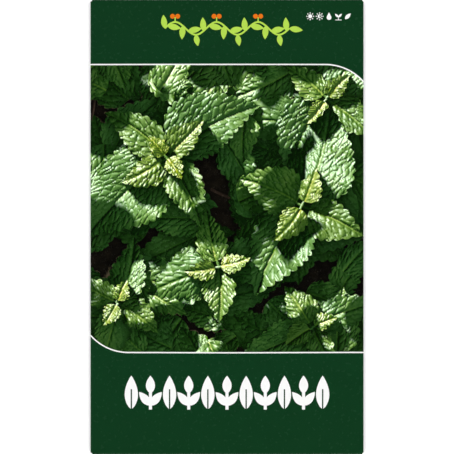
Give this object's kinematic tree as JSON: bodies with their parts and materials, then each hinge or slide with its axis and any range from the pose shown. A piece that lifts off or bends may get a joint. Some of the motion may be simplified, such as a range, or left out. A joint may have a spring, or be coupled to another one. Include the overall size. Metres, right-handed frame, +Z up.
{
  "type": "seed packet",
  "caption": "Flat folded paper packet with a printed front, glued flaps on its back and loose seeds sealed inside.",
  "frame": {"origin": "on the surface that the packet lies on, under the middle of its outline", "axes": "+Z up out of the printed front, +Y up the front towards the closure flap's fold, +X to the right across the front"},
  "size_m": [0.09, 0.15, 0.0026],
  "materials": {
    "printed_paper": "coated paper with a satin dark green print",
    "glue": "dried clear paper glue",
    "seed_coat": "dry matte brown seeds"
  },
  "bodies": {
    "root": {"paper_envelope": "printed_paper", "side_seam_glue": "glue", "bottom_flap_glue": "glue", "closure_flap_glue": "glue", "seeds": "seed_coat"}
  },
  "joints": []
}
